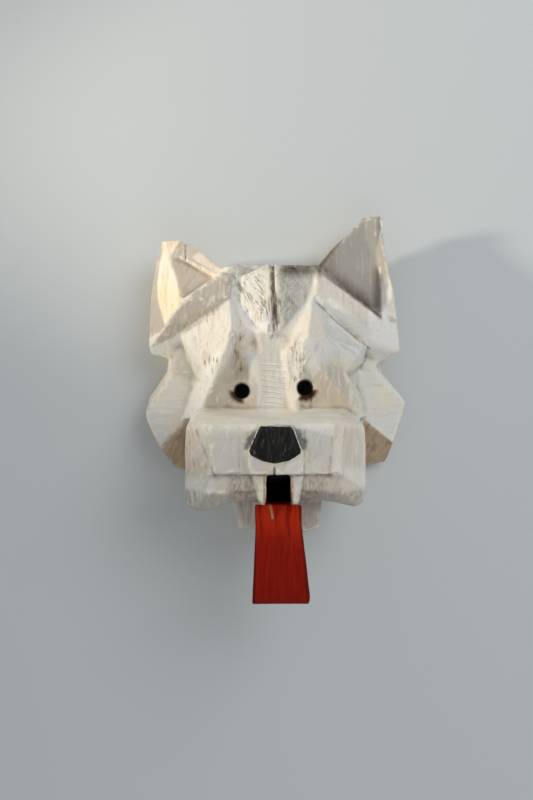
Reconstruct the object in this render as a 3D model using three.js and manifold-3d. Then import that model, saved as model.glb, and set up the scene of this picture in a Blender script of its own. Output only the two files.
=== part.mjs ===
// A carved wooden dog mask that lies on its back, face up: a hollow head cut from one block, and a tongue board
// set in its mouth. Millimetres. +X runs to the viewer's right, +Y up the face and +Z out of the face.
// While it is carved, X = 0 is the middle of the face, Y = 0 the line of the eyes and Z = 0 the back rim.
import * as THREE from "three";
import { ConvexGeometry } from "three/addons/geometries/ConvexGeometry.js";
import { mergeVertices } from "three/addons/utils/BufferGeometryUtils.js";
import Module from "manifold-3d";

const wasm = await Module();
wasm.setup();

// Driving dimensions
const EYE_SPACING = 63; // between the wearer's pupils
const EYE_RADIUS = 7.5;
const EYE_MID_X = -1.7; // the eyes sit a little to the viewer's left
const FACE_DEPTH = 83; // rim to the flat of the face at the eyes
const CROWN_HEIGHT = 123; // eye line to the top of the skull, between the ears
const RIM = { halfWidth: 117, halfHeight: 121, middle: -3, edge: 10, sides: 28 };
const HOLLOW = { halfWidth: 88, halfHeight: 97, middle: -8, depth: 62, floorShare: 0.56, sides: 24 };
const SNOUT = { front: 150, halfFront: 60, halfBack: 87, cheekFront: 126, top: -33, lip: -80.5 };
const SLOT = { left: -8.8, right: 14.2, top: -81, bottom: -119 };
const TONGUE = { top: -111, waist: -131, end: -202.5, topFront: 123, endFront: 147, thickness: 10, tenonEnd: 66 };
const GAP = 0.4; // glue line round the tongue's tenon


// A closed geometry as a solid that can be joined and cut.
function solid(geometry) {
  const bare = geometry.clone();
  bare.deleteAttribute("normal");
  bare.deleteAttribute("uv");
  const merged = mergeVertices(bare, 1e-4);
  return new wasm.Manifold(
    new wasm.Mesh({
      numProp: 3,
      vertProperties: new Float32Array(merged.attributes.position.array),
      triVerts: new Uint32Array(merged.index.array),
    }),
  );
}

// The flat-sided block that its corners span, each corner written as [x, y, z].
function block(corners) {
  return solid(new ConvexGeometry(corners.map(([x, y, z]) => new THREE.Vector3(x, y, z))));
}

// A flat outline carried from one depth to another.
function plank(outline, back, front) {
  return block([...outline.map(([x, y]) => [x, y, back]), ...outline.map(([x, y]) => [x, y, front])]);
}

// A round bar along Z.
function bar(x, y, radius, back, front, sides) {
  const geometry = new THREE.CylinderGeometry(radius, radius, front - back, sides);
  geometry.rotateX(Math.PI / 2);
  geometry.translate(x, y, (back + front) / 2);
  return solid(geometry);
}

// The corners of an oval at one depth.
function oval({ halfWidth, halfHeight, middle, sides }, share, z) {
  return Array.from({ length: sides }, (_, i) => {
    const turn = (2 * Math.PI * i) / sides;
    return [share * halfWidth * Math.cos(turn), middle + share * halfHeight * Math.sin(turn), z];
  });
}

const join = (solids) => solids.reduce((whole, next) => whole.add(next));
const cut = (whole, tools) => tools.reduce((rest, tool) => rest.subtract(tool), whole);

// The skull: an oval rim rising to a flat crown and a flat face.
function skull() {
  const crown = [
    [-56, CROWN_HEIGHT, 0],
    [46, CROWN_HEIGHT, 0],
    [-52, CROWN_HEIGHT, 70],
    [42, CROWN_HEIGHT, 70],
  ];
  const face = [
    [-40, 100, FACE_DEPTH - 3],
    [36, 100, FACE_DEPTH - 3],
    [-58, 30, FACE_DEPTH],
    [56, 30, FACE_DEPTH],
    [-62, -40, FACE_DEPTH],
    [62, -40, FACE_DEPTH],
  ];
  return block([...oval(RIM, 1, 0), ...oval(RIM, 1, RIM.edge), ...crown, ...face]);
}

// The forehead tuft: a low roof that narrows to a point between the brows.
function foreheadTuft() {
  const top = 86;
  const outline = [
    [-43, 112, top - 8],
    [40, 114, top - 8],
    [-31, 82, top - 1],
    [29, 85, top - 1],
    [-13, 58, 92],
  ];
  const roof = [
    [-4, CROWN_HEIGHT, top],
    [-3, 52, 95],
  ];
  const under = [...outline, ...roof].map(([x, y]) => [x, y, 50]);
  return block([...outline, ...roof, ...under]);
}

// The furrow down the middle of the forehead tuft.
function foreheadFurrow() {
  const halfWidth = 4;
  const top = CROWN_HEIGHT + 4;
  const end = 66;
  return block([
    [-3.5 - halfWidth, top, 110],
    [-3.5 + halfWidth, top, 110],
    [-3.5, top, 74],
    [-2 - halfWidth, end, 120],
    [-2 + halfWidth, end, 120],
    [-2, end, 90],
  ]);
}

// Each temple is a facet between the brow's crest and the side of the head, with the eye socket on its inner side.
function temple(crest, outer, inner) {
  const base = 36;
  const under = [...outer, ...inner].map(([x, y]) => [x, y, base]);
  return block([...crest, ...outer, ...inner, ...under]);
}

function leftTemple() {
  const crest = [
    [-46, 101, 83],
    [-43, 58, 97],
    [-53, 32, 95],
    [-62, 6, 92],
  ];
  const outer = [
    [-71, 72, 76],
    [-96, 57, 64],
    [-90, 32, 57],
    [-80, 12, 60],
  ];
  const inner = [
    [-30, 88, 77],
    [-20, 56, 83],
    [-27, 28, 81],
    [-42, 4, 80],
  ];
  return temple(crest, outer, inner);
}

function rightTemple() {
  const crest = [
    [39, 101, 83],
    [33, 60, 98],
    [32.5, 35, 96],
    [70, 17, 86],
  ];
  const outer = [
    [46, 86, 84],
    [95, 50, 66],
    [90, 28, 58],
    [77, 16, 60],
  ];
  const inner = [
    [25, 88, 77],
    [9, 58, 84],
    [8, 34, 84],
  ];
  return temple(crest, outer, inner);
}

// The cheekbones carry the temples on, outwards and down, round the eye sockets.
function leftCheek() {
  const crest = [
    [-60, 10, 92],
    [-70, -7, 90],
    [-79, -26, 87],
  ];
  const outer = [
    [-79, 13, 58],
    [-87, -4, 52],
    [-98, -32, 45],
  ];
  const inner = [
    [-40, 8, 80],
    [-44, -28, 80],
  ];
  return temple(crest, outer, inner);
}

function rightCheek() {
  const crest = [
    [33, 34, 95],
    [70, 17, 86],
    [80, -4, 85],
    [89, -28, 84],
  ];
  const outer = [
    [77, 16, 54],
    [88, -4, 50],
    [95, -28, 50],
  ];
  const inner = [
    [34, 22, 84],
    [38, 0, 82],
    [38, -28, 82],
  ];
  return temple(crest, outer, inner);
}

// The bridge between the eyes: a flat strip with a crest along its viewer's right, from the brow to the snout.
function bridge() {
  const strip = block([
    [-26, 62, 82],
    [-25, 20, 85],
    [-24, -28, 85],
    [16, -28, 85],
    [10, 62, 82],
    [-30, 62, 70],
    [-28, -28, 76],
    [16, -28, 60],
    [10, 62, 60],
  ]);
  const crest = [
    [32.5, 38, 96],
    [27, 15, 94.5],
    [21.5, -14, 93],
    [21, -28, 92],
  ];
  const outer = [
    [34, 36, 80],
    [29.5, 15, 80],
    [23, -28, 80],
  ];
  const inner = [
    [6, 40, 86],
    [8, 15, 85],
    [14, -28, 85],
  ];
  return strip.add(temple(crest, outer, inner));
}

// A ruff of fur stands out from each cheek as a flat plate, bevelled along its upper edge and cut away below.
function ruff(side, { tip, shoulder, notch, heel, inside, bevel }) {
  const [tipX, tipY] = tip;
  const plate = [
    [notch[0] - 2, notch[1] - 6, 45],
    [shoulder[0] - 4, shoulder[1] - 4, 41],
    [tipX - 1, tipY, 37],
    [tipX - 4, tipY - 11, 37],
    [heel[0], heel[1], 41],
    [inside, 18, 50],
    [inside, heel[1] + 34, 54],
  ];
  const edge = [
    [notch[0], notch[1], 34],
    [shoulder[0], shoulder[1], 30],
    [tipX, tipY, 26],
  ];
  const lower = [
    [heel[0] - bevel, heel[1] - 21, 13],
    [heel[0] - 25, heel[1] - 25, 13],
    [72, heel[1] - 22, 30],
  ];
  const rim = [
    [notch[0] - 8, notch[1], 0],
    [shoulder[0] - 10, shoulder[1], 0],
    [tipX - 10, tipY, 0],
    [heel[0] - 9, heel[1], 0],
    [heel[0] - 22, heel[1] - 20, 0],
    [60, 0, 0],
  ];
  return block([...plate, ...edge, ...lower, ...rim].map(([x, y, z]) => [side * x, y, z]));
}

function ruffs() {
  return [
    ruff(-1, { tip: [136, -24], shoulder: [131, -8], notch: [108, 26], heel: [119, -60], inside: 72, bevel: 12 }),
    ruff(1, { tip: [137, -12], shoulder: [129, -1], notch: [105, 27], heel: [123, -55], inside: 68, bevel: 5 }),
  ];
}

// The viewer's right ear stands tall and whole: a block with a deep three-sided hollow behind its lower lip.
function rightEar() {
  const tip = [
    [91, 177.5, 45],
    [109, 180, 45],
    [113, 175, 46],
  ];
  const lip = [
    [41, 116, 84],
    [103, 77, 75],
  ];
  const foot = [
    [40, 97, 86],
    [46, 86, 86],
    [95, 50, 68],
    [129.5, 40, 45],
    [117, 36, 44],
    [105, 27, 42],
  ];
  const outside = [
    [117, 142, 51],
    [125, 70, 58],
  ];
  const back = [
    [50, 118, 8],
    [96, 166, 26],
    [110, 166, 24],
    [116, 70, 6],
    [118, 44, 6],
    [98, 30, 6],
    [60, 60, 20],
  ];
  const ear = block([...tip, [47, 125.5, 66], ...lip, ...foot, ...outside, ...back]);
  const hollow = block([
    [49, 125.5, 63],
    [107, 79, 48],
    [109, 178, 43],
    [90, 181, 44],
    [38, 120, 92],
    [104, 77, 84],
    [119, 80, 92],
    [114.5, 182, 66],
    [84, 186, 70],
    [62, 132, 96],
  ]);
  return ear.subtract(hollow);
}

// The viewer's left ear has lost its tip: a front flap of bare wood, a split step beside it and a small hollow.
function leftEar() {
  const breakLine = [
    [-117, 154, 52],
    [-93, 153.5, 62],
    [-85, 152.5, 54],
  ];
  const lip = [
    [-110, 67, 72],
    [-93, 91, 82],
    [-56, 116, 84],
    [-44, 118, 83],
  ];
  const foot = [
    [-129.5, 46, 46],
    [-129.5, 38, 41],
    [-108, 31, 42],
    [-96, 58, 66],
    [-71, 71, 76],
    [-45, 92, 87],
  ];
  const outside = [
    [-125, 121, 42],
    [-130, 87, 36],
    [-120, 93, 58],
  ];
  const back = [
    [-58, 118, 8],
    [-88, 142, 24],
    [-110, 142, 24],
    [-119, 90, 6],
    [-119, 48, 6],
    [-100, 33, 6],
    [-60, 60, 20],
  ];
  const ear = block([...breakLine, [-57, 125.5, 64], ...lip, ...foot, ...outside, ...back]);
  const hollow = block([
    [-103, 136, 66],
    [-59, 115, 70],
    [-93, 92, 74],
    [-84, 113, 48],
    [-106, 139, 96],
    [-54, 116, 96],
    [-95, 88, 100],
  ]);
  const split = block([
    [-92, 158, 50],
    [-89.5, 135, 55],
    [-57, 117, 62],
    [-38, 121, 60],
    [-44, 136, 56],
    [-80, 160, 47],
    [-92, 158, 92],
    [-89.5, 135, 92],
    [-57, 117, 92],
    [-38, 121, 92],
  ]);
  return cut(ear, [hollow, split]);
}

// The snout: a flat front, cheeks falling away to either side and a sloping top.
function snout() {
  const half = SNOUT.halfFront;
  const front = [
    [-half - 3, SNOUT.top - 1, SNOUT.front],
    [half - 2, SNOUT.top + 1, SNOUT.front],
    [-half, SNOUT.lip, SNOUT.front],
    [half, SNOUT.lip, SNOUT.front],
  ];
  const cheeks = [
    [-SNOUT.halfBack, SNOUT.top - 1, SNOUT.cheekFront],
    [SNOUT.halfBack, SNOUT.top, SNOUT.cheekFront],
    [-SNOUT.halfBack, -96, SNOUT.cheekFront],
    [SNOUT.halfBack, -96, SNOUT.cheekFront],
  ];
  const root = [
    [-80, -18, 90],
    [70, -19, 90],
    [-82, -24, 30],
    [82, -24, 30],
    [-78, -104, 30],
    [78, -104, 30],
  ];
  return block([...front, ...cheeks, ...root]);
}

// Each lip hangs below the snout's front edge and draws back towards the mouth. Its lower edge is bevelled under
// and arched by a broad scoop.
function lip(side, inner, drop, scoop) {
  const outer = SNOUT.halfBack;
  const upper = [
    [outer, SNOUT.lip, SNOUT.cheekFront],
    [SNOUT.halfFront + 1, SNOUT.lip, 146],
    [inner, SNOUT.lip, 124],
  ];
  const brink = [
    [outer, drop + 21, SNOUT.cheekFront],
    [outer - 25, drop + 22, 141],
    [inner, drop + 24, 120],
  ];
  const edge = [
    [outer, drop + 7, 119],
    [outer - 8, drop, 117],
    [outer - 24, drop + 1.5, 120],
    [inner, drop + 9, 110],
  ];
  const back = [...edge, ...upper].map(([x, y]) => [x * 0.94, y, 50]);
  const whole = block([...upper, ...brink, ...edge, ...back].map(([x, y, z]) => [side * x, y, z]));
  return whole.subtract(bar(side * scoop.x, scoop.y - scoop.radius, scoop.radius, 20, 140, scoop.sides));
}

function lips() {
  return [
    lip(-1, 8, -118, { x: 28, y: -108, radius: 72, sides: 64 }),
    lip(1, 13, -114, { x: 30, y: -106.5, radius: 150, sides: 96 }),
  ];
}

// The nose stands on a boss in the middle of the snout, which ends in two teeth beside the mouth.
function noseBoss() {
  const front = SNOUT.front + 8;
  const outline = [
    [-12.7, -34.5, front],
    [12.6, -34.5, front],
    [-25.2, -61, front],
    [25, -60.5, front],
    [-25, SNOUT.lip, front - 1],
    [25, SNOUT.lip, front - 1],
  ];
  const foot = [
    [-17, -33, SNOUT.front - 2],
    [17, -33, SNOUT.front - 2],
    [-32, -49, SNOUT.front - 2],
    [33, -50, SNOUT.front - 2],
    [-28, SNOUT.lip, SNOUT.front - 2],
    [28, SNOUT.lip, SNOUT.front - 2],
  ];
  return block([...outline, ...foot]);
}

function nose() {
  const back = SNOUT.front + 5;
  const front = SNOUT.front + 11;
  const outline = [
    [-12.5, -35],
    [12.5, -35],
    [24.6, -60.2],
    [0, -68.8],
    [-24.8, -61],
  ];
  const inset = outline.map(([x, y]) => [x * 0.95, y + (y < -50 ? 1 : -1), front]);
  return block([...outline.map(([x, y]) => [x, y, back]), ...outline.map(([x, y]) => [x, y, front - 1]), ...inset]);
}

function tooth(outer, inner, tipOuter, tipInner, end) {
  const back = 118;
  const front = SNOUT.front + 3;
  return block([
    [outer, SNOUT.lip + 4, front],
    [inner, SNOUT.lip + 4, front],
    [outer, SNOUT.lip + 4, back],
    [inner, SNOUT.lip + 4, back],
    [tipOuter, end + 4, front - 5],
    [tipInner, end + 4, front - 5],
    [tipOuter * 0.8 + tipInner * 0.2, end, front - 8],
    [tipInner * 0.8 + tipOuter * 0.2, end, front - 8],
    [tipOuter, end + 3, back + 8],
    [tipInner, end + 3, back + 8],
  ]);
}

// The lower jaw is a short chin under the tongue.
function lowerJaw() {
  return block([
    [-38, -104, 100],
    [46, -104, 100],
    [-36, -139, 92],
    [29, -142, 92],
    [44, -137, 92],
    [-46, -104, 20],
    [50, -104, 20],
    [-40, -126, 0],
    [40, -126, 0],
    [-50, -100, 0],
    [50, -100, 0],
  ]);
}

// What the carver takes out: the hollow for the face, the eye holes and the mouth.
function hollow() {
  const back = oval(HOLLOW, 1, -5);
  const middle = oval(HOLLOW, 0.9, HOLLOW.depth * 0.6);
  const end = oval(HOLLOW, HOLLOW.floorShare, HOLLOW.depth);
  return block([...back, ...middle, ...end]);
}

function eyeHoles() {
  const half = EYE_SPACING / 2;
  const back = HOLLOW.depth - 15;
  const front = FACE_DEPTH + 30;
  return [
    bar(EYE_MID_X - half, -1, EYE_RADIUS, back, front, 24),
    bar(EYE_MID_X + half, 2, EYE_RADIUS, back, front, 24),
  ];
}

function mouthSlot() {
  const outline = [
    [SLOT.left, SLOT.top],
    [SLOT.right, SLOT.top],
    [SLOT.right, SLOT.bottom],
    [SLOT.left, SLOT.bottom],
  ];
  return plank(outline, 30, SNOUT.front + 20);
}

function head() {
  const carved = join([
    skull(),
    foreheadTuft(),
    leftTemple(),
    rightTemple(),
    leftCheek(),
    rightCheek(),
    bridge(),
    ...ruffs(),
    snout(),
    ...lips(),
    noseBoss(),
    nose(),
    tooth(-24, -8.6, -16, -8.6, -110),
    tooth(27, 14, 23, 14.6, -109),
    lowerJaw(),
    rightEar(),
    leftEar(),
  ]);
  return cut(carved, [foreheadFurrow(), hollow(), ...eyeHoles(), mouthSlot()]);
}

// The tongue: a board that leans out and widens to its end, with a tenon that runs back along the mouth slot.
function tongue() {
  const slope = (TONGUE.endFront - TONGUE.topFront) / (TONGUE.top - TONGUE.end);
  const lean = Math.atan(slope);
  const board = (outline) =>
    block(
      outline.flatMap(([x, y]) => {
        const front = TONGUE.topFront + slope * (TONGUE.top - y);
        return [
          [x, y, front],
          [x, y - TONGUE.thickness * Math.sin(lean), front - TONGUE.thickness * Math.cos(lean)],
        ];
      }),
    );
  const neck = board([
    [-19.6, TONGUE.top],
    [25.8, TONGUE.top],
    [25.7, TONGUE.waist],
    [-19.1, TONGUE.waist],
  ]);
  const blade = board([
    [-19.1, TONGUE.waist],
    [25.7, TONGUE.waist],
    [33, TONGUE.end + 6],
    [32, TONGUE.end],
    [-21.9, TONGUE.end],
  ]);
  const tenon = plank(
    [
      [SLOT.left + GAP, TONGUE.top],
      [SLOT.right - GAP, TONGUE.top],
      [SLOT.right - GAP, SLOT.bottom + GAP],
      [SLOT.left + GAP, SLOT.bottom + GAP],
    ],
    TONGUE.tenonEnd,
    TONGUE.topFront - 1,
  );
  return join([neck, blade, tenon]);
}

function mesh(name, whole, colour, roughness) {
  const { vertProperties, triVerts } = whole.getMesh();
  const geometry = new THREE.BufferGeometry();
  geometry.setAttribute("position", new THREE.BufferAttribute(vertProperties, 3));
  geometry.setIndex(new THREE.BufferAttribute(triVerts, 1));
  const made = new THREE.Mesh(geometry, new THREE.MeshStandardMaterial({ color: colour, roughness, metalness: 0 }));
  made.name = name;
  return made;
}

const mask = new THREE.Group();
mask.add(mesh("head", head(), 0xd8d2c4, 0.7));
mask.add(mesh("tongue", tongue(), 0x8c1a0a, 0.5));

// The finished mask is set down with the middle of its outline over the origin and its rim on Z = 0.
const middle = new THREE.Box3().setFromObject(mask).getCenter(new THREE.Vector3());
mask.position.set(-middle.x, -middle.y, 0);

export default mask;
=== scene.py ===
from itertools import product

import bpy
import numpy as np
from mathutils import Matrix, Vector


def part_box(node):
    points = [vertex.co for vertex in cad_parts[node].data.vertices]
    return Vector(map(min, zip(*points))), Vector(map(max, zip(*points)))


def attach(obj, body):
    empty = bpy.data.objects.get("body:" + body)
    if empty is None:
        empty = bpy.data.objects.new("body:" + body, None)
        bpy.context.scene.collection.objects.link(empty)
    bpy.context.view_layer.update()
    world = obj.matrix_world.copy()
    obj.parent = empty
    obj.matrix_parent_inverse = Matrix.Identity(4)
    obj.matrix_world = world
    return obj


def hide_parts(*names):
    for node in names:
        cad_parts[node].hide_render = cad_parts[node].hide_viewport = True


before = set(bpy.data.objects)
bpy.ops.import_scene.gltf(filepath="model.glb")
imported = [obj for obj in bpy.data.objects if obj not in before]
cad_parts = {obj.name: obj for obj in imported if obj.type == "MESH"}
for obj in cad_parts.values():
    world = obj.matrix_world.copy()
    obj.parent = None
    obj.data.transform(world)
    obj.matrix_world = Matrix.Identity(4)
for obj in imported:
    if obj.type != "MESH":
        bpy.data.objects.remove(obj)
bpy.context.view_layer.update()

# The camera looks straight down on the mask as it lies on its back, square to the face. One pixel of its
# frame, 533 by 800, is about a millimetre at the eyes.
low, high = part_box("head")
EAR_TIP_ABOVE_EYES = 0.180
RUFF_TIP_FROM_MIDDLE = 0.137
face_middle = Vector((high.x - RUFF_TIP_FROM_MIDDLE, high.y - EAR_TIP_ABOVE_EYES, 0))
CAMERA_FROM_MIDDLE = Vector((-0.0085, -0.010, 1.250))
FOCAL_PIXELS = 1165
FRAME_HEIGHT = 800

bpy.ops.object.select_all(action="DESELECT")
bpy.ops.object.camera_add(location=face_middle + CAMERA_FROM_MIDDLE, rotation=(0, 0, 0))
camera = bpy.context.object
camera.data.sensor_width = 36
camera.data.lens = camera.data.sensor_width * FOCAL_PIXELS / FRAME_HEIGHT
bpy.context.scene.camera = camera
bpy.context.scene.view_settings.view_transform = "Standard"

# The head is carved from one block of pale wood with knife and gouge, hollowed behind, and brushed with
# thin white paint that has worn off the ridges. One ear has lost its tip and shows bare wood, and the nose
# is painted black.
MERGE = 0.00001
CARVING_GRAIN = 0.0012
MOST_TRIANGLES = 192000


def copy_of(node, name):
    """A new object with its own copy of a node's mesh, its doubles merged, selected and active."""
    made = bpy.data.objects.new(name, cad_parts[node].data.copy())
    bpy.context.scene.collection.objects.link(made)
    bpy.ops.object.select_all(action="DESELECT")
    made.select_set(True)
    bpy.context.view_layer.objects.active = made
    bpy.ops.object.mode_set(mode="EDIT")
    bpy.ops.mesh.select_all(action="SELECT")
    bpy.ops.mesh.remove_doubles(threshold=MERGE)
    bpy.ops.object.mode_set(mode="OBJECT")
    made.data.materials.clear()
    return made


def even_mesh(piece, size):
    """Gives the active piece an even mesh of that size, fine enough to carve."""
    remesh = piece.modifiers.new("even_mesh", "REMESH")
    remesh.mode = "VOXEL"
    remesh.voxel_size = size
    bpy.ops.object.modifier_apply(modifier=remesh.name)


def points_of(piece):
    """A piece's points, in millimetres from the middle of the face at the back rim, and their normals."""
    count = len(piece.data.vertices)
    spots = np.empty(3 * count)
    normals = np.empty(3 * count)
    piece.data.vertices.foreach_get("co", spots)
    piece.data.vertices.foreach_get("normal", normals)
    return (spots.reshape(-1, 3) - np.array(face_middle)) * 1000, normals.reshape(-1, 3)


def move_points(piece, spots):
    """Puts a piece's points at those places, given as points_of gives them."""
    piece.data.vertices.foreach_set("co", (spots / 1000 + np.array(face_middle)).ravel())
    piece.data.update()


def waves(spots, size, seed):
    """Smooth noise from -1 to 1 at each point, with bumps of that size, or those sizes, in millimetres."""
    scaled = spots / np.array(size, float)
    cell = np.floor(scaled).astype(np.int64)
    part = scaled - cell
    part = part * part * (3 - 2 * part)
    total = np.zeros(len(spots))
    for corner in product((0, 1), repeat=3):
        at = cell + corner
        mixed = at[:, 0] * 73856093 ^ at[:, 1] * 19349663 ^ at[:, 2] * 83492791 ^ seed * 2654435761
        mixed = (mixed ^ mixed >> 13) * 1274126177
        value = ((mixed ^ mixed >> 16) & 0xFFFF) / 32767.5 - 1
        total += value * np.prod(np.where(corner, part, 1 - part), axis=1)
    return total


def softened(piece, spots, rounds):
    """The points after that many rounds of moving each one to the middle of its neighbours."""
    ends = np.empty(2 * len(piece.data.edges), np.int32)
    piece.data.edges.foreach_get("vertices", ends)
    one, other = ends.reshape(-1, 2).T
    count = len(spots)
    degree = np.bincount(ends, minlength=count)
    around = spots.copy()
    for _ in range(rounds):
        for axis in range(3):
            column = around[:, axis].copy()
            total = np.bincount(one, column[other], count) + np.bincount(other, column[one], count)
            around[:, axis] = total / degree
    return around


def ramp(values, start, end):
    """0 at start, 1 at end, and straight between them."""
    return np.clip((values - start) / (end - start), 0, 1)


def inside(outline, spots):
    """How far each point lies inside a flat outline with no dents, in millimetres, and below 0 outside it."""
    corners = np.array(outline, float)
    along = np.roll(corners, -1, axis=0) - corners
    if np.sum(corners[:, 0] * along[:, 1] - corners[:, 1] * along[:, 0]) < 0:
        return inside(outline[::-1], spots)
    along /= np.linalg.norm(along, axis=1)[:, None]
    reach = np.full(len(spots), np.inf)
    for (x, y), (run, rise) in zip(corners, along):
        reach = np.minimum(reach, run * (spots[:, 1] - y) - rise * (spots[:, 0] - x))
    return reach


def above_plane(spots, corners):
    """How far each point stands above the plane through three corners, straight up."""
    first, second, third = np.array(corners, float)
    facing = np.cross(second - first, third - first)
    return (spots - first) @ facing / facing[2]


def plane_off(spots, where, corners):
    """Cuts what stands above the plane through three corners down to it, as far as where allows."""
    return spots - np.outer(np.maximum(above_plane(spots, corners), 0) * where, (0, 0, 1))


def fill_up(spots, where, corners):
    """Raises what lies below the plane through three corners up to it, as far as where allows."""
    return spots - np.outer(np.minimum(above_plane(spots, corners), 0) * where, (0, 0, 1))


def from_line(line, spots):
    """How far each point lies from a line through those places, seen from the front, in millimetres."""
    nearest = np.full(len(spots), np.inf)
    for start, end in zip(line[:-1], line[1:]):
        run = np.subtract(end, start)
        share = np.clip((spots[:, :2] - start) @ run / (run @ run), 0, 1)
        nearest = np.minimum(nearest, np.linalg.norm(spots[:, :2] - start - share[:, None] * run, axis=1))
    return nearest


def keep(piece, name, values):
    """Keeps one number for each point, for the material to read."""
    made = piece.data.attributes.new(name, "FLOAT", "POINT")
    made.data.foreach_set("value", np.asarray(values, np.float32))


TUFT = [(-44, 117), (41, 119), (32, 88), (-1, 48), (-20, 61), (-41, 92)]
TUFT_RIGHT = [(-2, 122), (41, 122), (31, 89), (-1, 50)]
TUFT_LEFT = [(-44, 117), (-10, 117), (-10, 80), (-28, 72), (-41, 92)]
TUFT_LOW = [(-30, 92), (24, 92), (-1, 48), (-20, 61)]
TUFT_TIP = [(-22, 62), (14, 62), (10, 30), (-16, 30)]
VALLEY_LEFT = [(-46, 92), (-44, 52), (-34, 40), (-16, 54), (-20, 62), (-40, 94)]
GROOVE_RIGHT = [(2, 56), (16, 78), (33, 92), (32, 74), (20, 56)]
TUFT_FOOT = [(-37, 98), (-35, 66), (-14, 40), (14, 40), (28, 66), (33, 98)]
BROW_INSIDE = [(-44, 56), (-30, 56), (-29, 12), (-42, 12)]
BROW_FOOT = [(-102, 66), (-102, 52), (-46, 78), (-46, 96)]
TEMPLE_LEFT = [(-94, 58), (-46, 80), (-46, 36), (-80, 30)]
TEMPLE_FOOT = [(-80, 34), (-50, 36), (-52, 16), (-74, 10)]
BRIDGE_RIM = [(10, 48), (33, 56), (33, 12), (13, 0)]
EYE_CORNER = [(25, 52), (41, 52), (43, 6), (25, 6)]
CHANNEL = [(-18, 58), (-15, -17), (15, -17), (12, 40), (4, 58)]
CHEEK_LEFT = [(-51, 36), (-58, 40), (-80, 9), (-96, -30), (-78, -30), (-70, -8)]
JOWL_LEFT = [(-92, -40), (-78, -33), (-56, -83), (-92, -86)]
SNOUT_TOP = [(-96, -6), (96, -6), (96, -54), (-96, -54)]
NOSE = [(-13.8, -34.5), (14.8, -35.1), (17.6, -38), (24.7, -57.2), (24, -60.4), (12.9, -66.9), (-0.8, -69.8),
        (-12.4, -67.3), (-23.8, -61.9), (-25.8, -58), (-17, -38)]
NOSE_FOOT = [(-17, -32), (17, -32), (33, -48), (30, -62), (25, -74), (-27, -74), (-34, -57), (-32, -46)]
RUFF_UNDER_LEFT = [(-124, -62), (-92, -29), (-86, -29), (-86, -96), (-112, -96)]
RUFF_UNDER_RIGHT = [(91, -29), (127, -58), (124, -90), (90, -90)]
EAR_INSIDE = [(-105, 138), (-91, 160), (-80, 160), (-52, 122), (-62, 113), (-84, 98), (-94, 97)]
RECESS = [(-106, 137), (-91, 132), (-60, 115), (-85, 99), (-93, 97)]
NOTCH_LEFT = [(-118, 46), (-96, 42), (-88, 20), (-112, 18)]
PIT_LEFT = [(-106, 47), (-85, 47), (-79, 12), (-106, 14)]
BAND_BEVEL = [(46, 82.7), (98, 39.3), (107, 50.1), (55, 93.5)]
NOTCH_RIGHT = [(86, 44), (108, 38), (108, 20), (88, 18)]
NOTCH_BROW_LEFT = [(-49, 122), (-34, 122), (-35, 92), (-46, 90)]
NOTCH_BROW_RIGHT = [(16, 124), (44, 122), (42, 94), (32, 90)]
EAR_EDGE = [(110.6, 176.7), (118.7, 126), (127, 66.6)]
EAR_TOP = [(46, 127), (57, 142), (75, 165), (88, 178), (99, 183), (109, 183.5), (113, 178)]
EAR_SIDE = [(105, 186), (134, 186), (134, 65), (107, 79)]
LIP_LEFT = [(-84, -80.6), (-21.5, -80.6), (-20.5, -98), (-84, -98)]
LIP_RIGHT = [(84, -80.6), (28, -80.6), (26, -98), (84, -98)]

# Planes that the knife cut to, or that the block was left at, each through three corners
RUFF_CUT_LEFT = ((-119, -60, 38), (-92, -30, 50), (-100, -88, 12))
RUFF_CUT_RIGHT = ((93, -32, 50), (123, -56, 38), (105, -84, 12))
EAR_OUTER_CUT = ((-124, 150, 52), (-120, 92, 57), (-133, 92, 38))
EAR_INSIDE_SLOPE = ((-81, 141, 56.5), (-60, 141, 56), (-81, 122, 62))
RECESS_SLOPE = ((-98, 115, 57), (-68, 119, 55), (-90, 99, 60))
BROW_LEVEL_LEFT = ((-47, 110, 83.5), (-36, 110, 80), (-47, 94, 84.5))
BROW_LEVEL_RIGHT = ((28, 110, 81), (40, 110, 81.5), (36, 94, 83))
PIT_LEVEL = ((-104, 42, 50.5), (-88, 42, 56), (-100, 18, 45.5))
BAND_CUT = ((69, 81.8, 81.6), (93, 61.8, 72.2), (60, 71, 75.3))
EYE_CORNER_LEVEL = ((33, 30, 94), (28, 9, 90.5), (40, 9, 90))
VALLEY_LEVEL = ((-45, 88, 85), (-43, 54, 93.5), (-20, 60, 90.5))
GROOVE_LEVEL = ((6, 62, 89), (24, 84, 84.5), (13.75, 55.7, 89))
TUFT_TIP_SLOPE = ((-10, 60, 91), (10, 60, 90), (0, 30, 83.5))
EAR_SIDE_SLOPE = ((106, 150, 44), (107, 80, 66), (119, 120, 62))
EAR_SIDE_TOP = ((106, 150, 68), (107, 80, 68), (119, 120, 68))
LIP_STEP = ((-50, -81, 143.5), (50, -81, 143.5), (0, -98, 132))
NOTCH_LEVELS = ((NOTCH_LEFT, 44), (NOTCH_RIGHT, 46))

# The top edge, as Y at each X, and how far it stands proud there
TOP_EDGE = ((44, 122), (57, 136), (75, 160), (88, 176), (99, 179.5), (108, 179.5), (113, 176))
TOP_PROUD = ((-60, 0), (-48, 2.5), (-40, 4), (40, 4), (46, 5), (57, 6.5), (75, 5), (88, 2), (99, 3.3),
             (108, 4), (113, 2.5))

LEFT_EYE = (-33.2, -1)
RIGHT_EYE = (29.8, 2)
EYE_RADIUS = 7.5
RIPPLE_PITCH = 5.4
SLIT_X = -91.3
FURROW_DEPTH = 4.0
SLIT_DEPTH = 4.0
NICK_DEPTH = 1.3


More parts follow.
